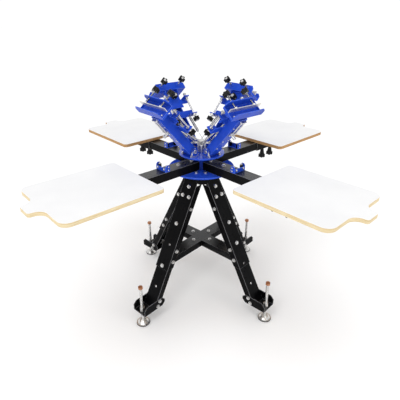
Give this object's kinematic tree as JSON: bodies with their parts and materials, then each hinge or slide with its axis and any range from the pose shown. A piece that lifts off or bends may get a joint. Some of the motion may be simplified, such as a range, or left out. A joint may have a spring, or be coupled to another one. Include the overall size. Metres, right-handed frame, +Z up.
{
  "type": "carousel screen printing press",
  "caption": "Floor-standing carousel press on a splayed bolted stand: shirt boards turn below spring-raised heads with screw clamps for printing screens.",
  "frame": {"origin": "on the floor, under the axis of the main spindle", "axes": "+Z up along the spindle; +Y away from the pictured front; +X to the right"},
  "size_m": [1.6674, 1.6674, 1.2936],
  "materials": {
    "black_powder_coat": "semi-gloss powder coat",
    "blue_paint": "gloss enamel",
    "zinc_steel": "bright zinc plate",
    "laminated_board": "white laminate top over raw board edges",
    "knob_plastic": "moulded, slightly glossy"
  },
  "bodies": {
    "stand": {"stand_top_plate": "black_powder_coat", "upper_legs": "black_powder_coat", "lower_legs": "black_powder_coat", "cross_brace": "black_powder_coat", "foot_brackets": "black_powder_coat", "stand_bolts": "zinc_steel", "spindle": "zinc_steel"},
    "platen_carousel": {"lower_disc": "blue_paint", "platen_arms": "black_powder_coat", "registration_gates": "blue_paint", "gate_posts": "black_powder_coat", "carousel_bolts": "zinc_steel"},
    "head_carousel": {"upper_disc": "blue_paint", "pivot_bearings": "zinc_steel", "spring_post": "blue_paint", "lift_springs": "zinc_steel"},
    "levelling_foot_front_left": {"levelling_foot_front_left": "zinc_steel"},
    "platen_front_left": {"platen_board_front_left": "laminated_board", "platen_bracket_front_left": "black_powder_coat"},
    "platen_knob_front_left_inner": {"platen_knob_front_left_inner": "knob_plastic"},
    "platen_knob_front_left_outer": {"platen_knob_front_left_outer": "knob_plastic"},
    "print_head_front_left": {"head_arm_front_left": "blue_paint", "head_fittings_front_left": "zinc_steel"},
    "clamp_front_left": {"clamp_channel_front_left": "blue_paint"},
    "pressing_plate_front_left": {"pressing_plate_front_left": "zinc_steel"},
    "clamp_screw_front_left_left": {"clamp_screw_front_left_left": "knob_plastic"},
    "clamp_screw_front_left_right": {"clamp_screw_front_left_right": "knob_plastic"},
    "levelling_foot_front_right": {"levelling_foot_front_right": "zinc_steel"},
    "platen_front_right": {"platen_board_front_right": "laminated_board", "platen_bracket_front_right": "black_powder_coat"},
    "platen_knob_front_right_inner": {"platen_knob_front_right_inner": "knob_plastic"},
    "platen_knob_front_right_outer": {"platen_knob_front_right_outer": "knob_plastic"},
    "print_head_front_right": {"head_arm_front_right": "blue_paint", "head_fittings_front_right": "zinc_steel"},
    "clamp_front_right": {"clamp_channel_front_right": "blue_paint"},
    "pressing_plate_front_right": {"pressing_plate_front_right": "zinc_steel"},
    "clamp_screw_front_right_left": {"clamp_screw_front_right_left": "knob_plastic"},
    "clamp_screw_front_right_right": {"clamp_screw_front_right_right": "knob_plastic"},
    "levelling_foot_rear_right": {"levelling_foot_rear_right": "zinc_steel"},
    "platen_rear_right": {"platen_board_rear_right": "laminated_board", "platen_bracket_rear_right": "black_powder_coat"},
    "platen_knob_rear_right_inner": {"platen_knob_rear_right_inner": "knob_plastic"},
    "platen_knob_rear_right_outer": {"platen_knob_rear_right_outer": "knob_plastic"},
    "print_head_rear_right": {"head_arm_rear_right": "blue_paint", "head_fittings_rear_right": "zinc_steel"},
    "clamp_rear_right": {"clamp_channel_rear_right": "blue_paint"},
    "pressing_plate_rear_right": {"pressing_plate_rear_right": "zinc_steel"},
    "clamp_screw_rear_right_left": {"clamp_screw_rear_right_left": "knob_plastic"},
    "clamp_screw_rear_right_right": {"clamp_screw_rear_right_right": "knob_plastic"},
    "levelling_foot_rear_left": {"levelling_foot_rear_left": "zinc_steel"},
    "platen_rear_left": {"platen_board_rear_left": "laminated_board", "platen_bracket_rear_left": "black_powder_coat"},
    "platen_knob_rear_left_inner": {"platen_knob_rear_left_inner": "knob_plastic"},
    "platen_knob_rear_left_outer": {"platen_knob_rear_left_outer": "knob_plastic"},
    "print_head_rear_left": {"head_arm_rear_left": "blue_paint", "head_fittings_rear_left": "zinc_steel"},
    "clamp_rear_left": {"clamp_channel_rear_left": "blue_paint"},
    "pressing_plate_rear_left": {"pressing_plate_rear_left": "zinc_steel"},
    "clamp_screw_rear_left_left": {"clamp_screw_rear_left_left": "knob_plastic"},
    "clamp_screw_rear_left_right": {"clamp_screw_rear_left_right": "knob_plastic"}
  },
  "joints": [
    {"name": "platen_carousel_turn", "type": "hinge", "parent": "stand", "child": "platen_carousel", "pos_m": [0, 0, 0.83], "axis": [0, 0, 1], "continuous": true},
    {"name": "head_carousel_turn", "type": "hinge", "parent": "stand", "child": "head_carousel", "pos_m": [0, 0, 0.91], "axis": [0, 0, 1], "continuous": true},
    {"name": "levelling_foot_front_left_extend", "type": "slide", "parent": "stand", "child": "levelling_foot_front_left", "axis": [0, 0, -1], "range_m": [0, 0.08]},
    {"name": "platen_front_left_slide", "type": "slide", "parent": "platen_carousel", "child": "platen_front_left", "axis": [-0.766, -0.6428, 0], "range_m": [-0.03, 0.05]},
    {"name": "platen_knob_front_left_inner_turn", "type": "hinge", "parent": "platen_front_left", "child": "platen_knob_front_left_inner", "pos_m": [-0.41886, -0.32536, 0.8], "axis": [0, 0, -1], "range_deg": [0, 720]},
    {"name": "platen_knob_front_left_outer_turn", "type": "hinge", "parent": "platen_front_left", "child": "platen_knob_front_left_outer", "pos_m": [-0.48168, -0.37806, 0.8], "axis": [0, 0, -1], "range_deg": [0, 720]},
    {"name": "print_head_front_left_lower", "type": "hinge", "parent": "head_carousel", "child": "print_head_front_left", "pos_m": [-0.06707, -0.05221, 0.944], "axis": [0.6143, -0.7891, 0], "range_deg": [0, 48.7], "stiffness_Nm_per_rad": 7, "springref_deg": -108.86, "deforming": ["lift_springs"]},
    {"name": "clamp_front_left_slide", "type": "slide", "parent": "print_head_front_left", "child": "clamp_front_left", "axis": [-0.5208, -0.4054, 0.7513], "range_m": [-0.008, 0.008]},
    {"name": "pressing_plate_front_left_travel", "type": "slide", "parent": "clamp_front_left", "child": "pressing_plate_front_left", "axis": [-0.5928, -0.4615, -0.66], "range_m": [-0.018, 0.024]},
    {"name": "clamp_screw_front_left_left_turn", "type": "hinge", "parent": "pressing_plate_front_left", "child": "clamp_screw_front_left_left", "pos_m": [-0.18953, -0.22548, 1.23575], "axis": [-0.5928, -0.4615, -0.66], "range_deg": [-2161, 2881]},
    {"name": "clamp_screw_front_left_right_turn", "type": "hinge", "parent": "pressing_plate_front_left", "child": "clamp_screw_front_left_right", "pos_m": [-0.26508, -0.12842, 1.23575], "axis": [-0.5928, -0.4615, -0.66], "range_deg": [-2161, 2881]},
    {"name": "levelling_foot_front_right_extend", "type": "slide", "parent": "stand", "child": "levelling_foot_front_right", "axis": [0, 0, -1], "range_m": [0, 0.08]},
    {"name": "platen_front_right_slide", "type": "slide", "parent": "platen_carousel", "child": "platen_front_right", "axis": [0.6428, -0.766, 0], "range_m": [-0.03, 0.05]},
    {"name": "platen_knob_front_right_inner_turn", "type": "hinge", "parent": "platen_front_right", "child": "platen_knob_front_right_inner", "pos_m": [0.32536, -0.41886, 0.8], "axis": [0, 0, -1], "range_deg": [0, 720]},
    {"name": "platen_knob_front_right_outer_turn", "type": "hinge", "parent": "platen_front_right", "child": "platen_knob_front_right_outer", "pos_m": [0.37806, -0.48168, 0.8], "axis": [0, 0, -1], "range_deg": [0, 720]},
    {"name": "print_head_front_right_lower", "type": "hinge", "parent": "head_carousel", "child": "print_head_front_right", "pos_m": [0.05221, -0.06707, 0.944], "axis": [0.7891, 0.6143, 0], "range_deg": [0, 48.7], "stiffness_Nm_per_rad": 7, "springref_deg": -108.86, "deforming": ["lift_springs"]},
    {"name": "clamp_front_right_slide", "type": "slide", "parent": "print_head_front_right", "child": "clamp_front_right", "axis": [0.4054, -0.5208, 0.7513], "range_m": [-0.008, 0.008]},
    {"name": "pressing_plate_front_right_travel", "type": "slide", "parent": "clamp_front_right", "child": "pressing_plate_front_right", "axis": [0.4615, -0.5928, -0.66], "range_m": [-0.018, 0.024]},
    {"name": "clamp_screw_front_right_left_turn", "type": "hinge", "parent": "pressing_plate_front_right", "child": "clamp_screw_front_right_left", "pos_m": [0.22548, -0.18953, 1.23575], "axis": [0.4615, -0.5928, -0.66], "range_deg": [-2161, 2881]},
    {"name": "clamp_screw_front_right_right_turn", "type": "hinge", "parent": "pressing_plate_front_right", "child": "clamp_screw_front_right_right", "pos_m": [0.12842, -0.26508, 1.23575], "axis": [0.4615, -0.5928, -0.66], "range_deg": [-2161, 2881]},
    {"name": "levelling_foot_rear_right_extend", "type": "slide", "parent": "stand", "child": "levelling_foot_rear_right", "axis": [0, 0, -1], "range_m": [0, 0.08]},
    {"name": "platen_rear_right_slide", "type": "slide", "parent": "platen_carousel", "child": "platen_rear_right", "axis": [0.766, 0.6428, 0], "range_m": [-0.03, 0.05]},
    {"name": "platen_knob_rear_right_inner_turn", "type": "hinge", "parent": "platen_rear_right", "child": "platen_knob_rear_right_inner", "pos_m": [0.41886, 0.32536, 0.8], "axis": [0, 0, -1], "range_deg": [0, 720]},
    {"name": "platen_knob_rear_right_outer_turn", "type": "hinge", "parent": "platen_rear_right", "child": "platen_knob_rear_right_outer", "pos_m": [0.48168, 0.37806, 0.8], "axis": [0, 0, -1], "range_deg": [0, 720]},
    {"name": "print_head_rear_right_lower", "type": "hinge", "parent": "head_carousel", "child": "print_head_rear_right", "pos_m": [0.06707, 0.05221, 0.944], "axis": [-0.6143, 0.7891, 0], "range_deg": [0, 48.7], "stiffness_Nm_per_rad": 7, "springref_deg": -108.86, "deforming": ["lift_springs"]},
    {"name": "clamp_rear_right_slide", "type": "slide", "parent": "print_head_rear_right", "child": "clamp_rear_right", "axis": [0.5208, 0.4054, 0.7513], "range_m": [-0.008, 0.008]},
    {"name": "pressing_plate_rear_right_travel", "type": "slide", "parent": "clamp_rear_right", "child": "pressing_plate_rear_right", "axis": [0.5928, 0.4615, -0.66], "range_m": [-0.018, 0.024]},
    {"name": "clamp_screw_rear_right_left_turn", "type": "hinge", "parent": "pressing_plate_rear_right", "child": "clamp_screw_rear_right_left", "pos_m": [0.18953, 0.22548, 1.23575], "axis": [0.5928, 0.4615, -0.66], "range_deg": [-2161, 2881]},
    {"name": "clamp_screw_rear_right_right_turn", "type": "hinge", "parent": "pressing_plate_rear_right", "child": "clamp_screw_rear_right_right", "pos_m": [0.26508, 0.12842, 1.23575], "axis": [0.5928, 0.4615, -0.66], "range_deg": [-2161, 2881]},
    {"name": "levelling_foot_rear_left_extend", "type": "slide", "parent": "stand", "child": "levelling_foot_rear_left", "axis": [0, 0, -1], "range_m": [0, 0.08]},
    {"name": "platen_rear_left_slide", "type": "slide", "parent": "platen_carousel", "child": "platen_rear_left", "axis": [-0.6428, 0.766, 0], "range_m": [-0.03, 0.05]},
    {"name": "platen_knob_rear_left_inner_turn", "type": "hinge", "parent": "platen_rear_left", "child": "platen_knob_rear_left_inner", "pos_m": [-0.32536, 0.41886, 0.8], "axis": [0, 0, -1], "range_deg": [0, 720]},
    {"name": "platen_knob_rear_left_outer_turn", "type": "hinge", "parent": "platen_rear_left", "child": "platen_knob_rear_left_outer", "pos_m": [-0.37806, 0.48168, 0.8], "axis": [0, 0, -1], "range_deg": [0, 720]},
    {"name": "print_head_rear_left_lower", "type": "hinge", "parent": "head_carousel", "child": "print_head_rear_left", "pos_m": [-0.05221, 0.06707, 0.944], "axis": [-0.7891, -0.6143, 0], "range_deg": [0, 48.7], "stiffness_Nm_per_rad": 7, "springref_deg": -108.86, "deforming": ["lift_springs"]},
    {"name": "clamp_rear_left_slide", "type": "slide", "parent": "print_head_rear_left", "child": "clamp_rear_left", "axis": [-0.4054, 0.5208, 0.7513], "range_m": [-0.008, 0.008]},
    {"name": "pressing_plate_rear_left_travel", "type": "slide", "parent": "clamp_rear_left", "child": "pressing_plate_rear_left", "axis": [-0.4615, 0.5928, -0.66], "range_m": [-0.018, 0.024]},
    {"name": "clamp_screw_rear_left_left_turn", "type": "hinge", "parent": "pressing_plate_rear_left", "child": "clamp_screw_rear_left_left", "pos_m": [-0.22548, 0.18953, 1.23575], "axis": [-0.4615, 0.5928, -0.66], "range_deg": [-2161, 2881]},
    {"name": "clamp_screw_rear_left_right_turn", "type": "hinge", "parent": "pressing_plate_rear_left", "child": "clamp_screw_rear_left_right", "pos_m": [-0.12842, 0.26508, 1.23575], "axis": [-0.4615, 0.5928, -0.66], "range_deg": [-2161, 2881]}
  ],
  "couplings": [
    {"joint": "clamp_screw_front_left_left_turn", "follows": "pressing_plate_front_left_travel", "rad_per_m": 2094.4},
    {"joint": "clamp_screw_front_left_right_turn", "follows": "pressing_plate_front_left_travel", "rad_per_m": 2094.4},
    {"joint": "clamp_screw_front_right_left_turn", "follows": "pressing_plate_front_right_travel", "rad_per_m": 2094.4},
    {"joint": "clamp_screw_front_right_right_turn", "follows": "pressing_plate_front_right_travel", "rad_per_m": 2094.4},
    {"joint": "clamp_screw_rear_right_left_turn", "follows": "pressing_plate_rear_right_travel", "rad_per_m": 2094.4},
    {"joint": "clamp_screw_rear_right_right_turn", "follows": "pressing_plate_rear_right_travel", "rad_per_m": 2094.4},
    {"joint": "clamp_screw_rear_left_left_turn", "follows": "pressing_plate_rear_left_travel", "rad_per_m": 2094.4},
    {"joint": "clamp_screw_rear_left_right_turn", "follows": "pressing_plate_rear_left_travel", "rad_per_m": 2094.4}
  ]
}
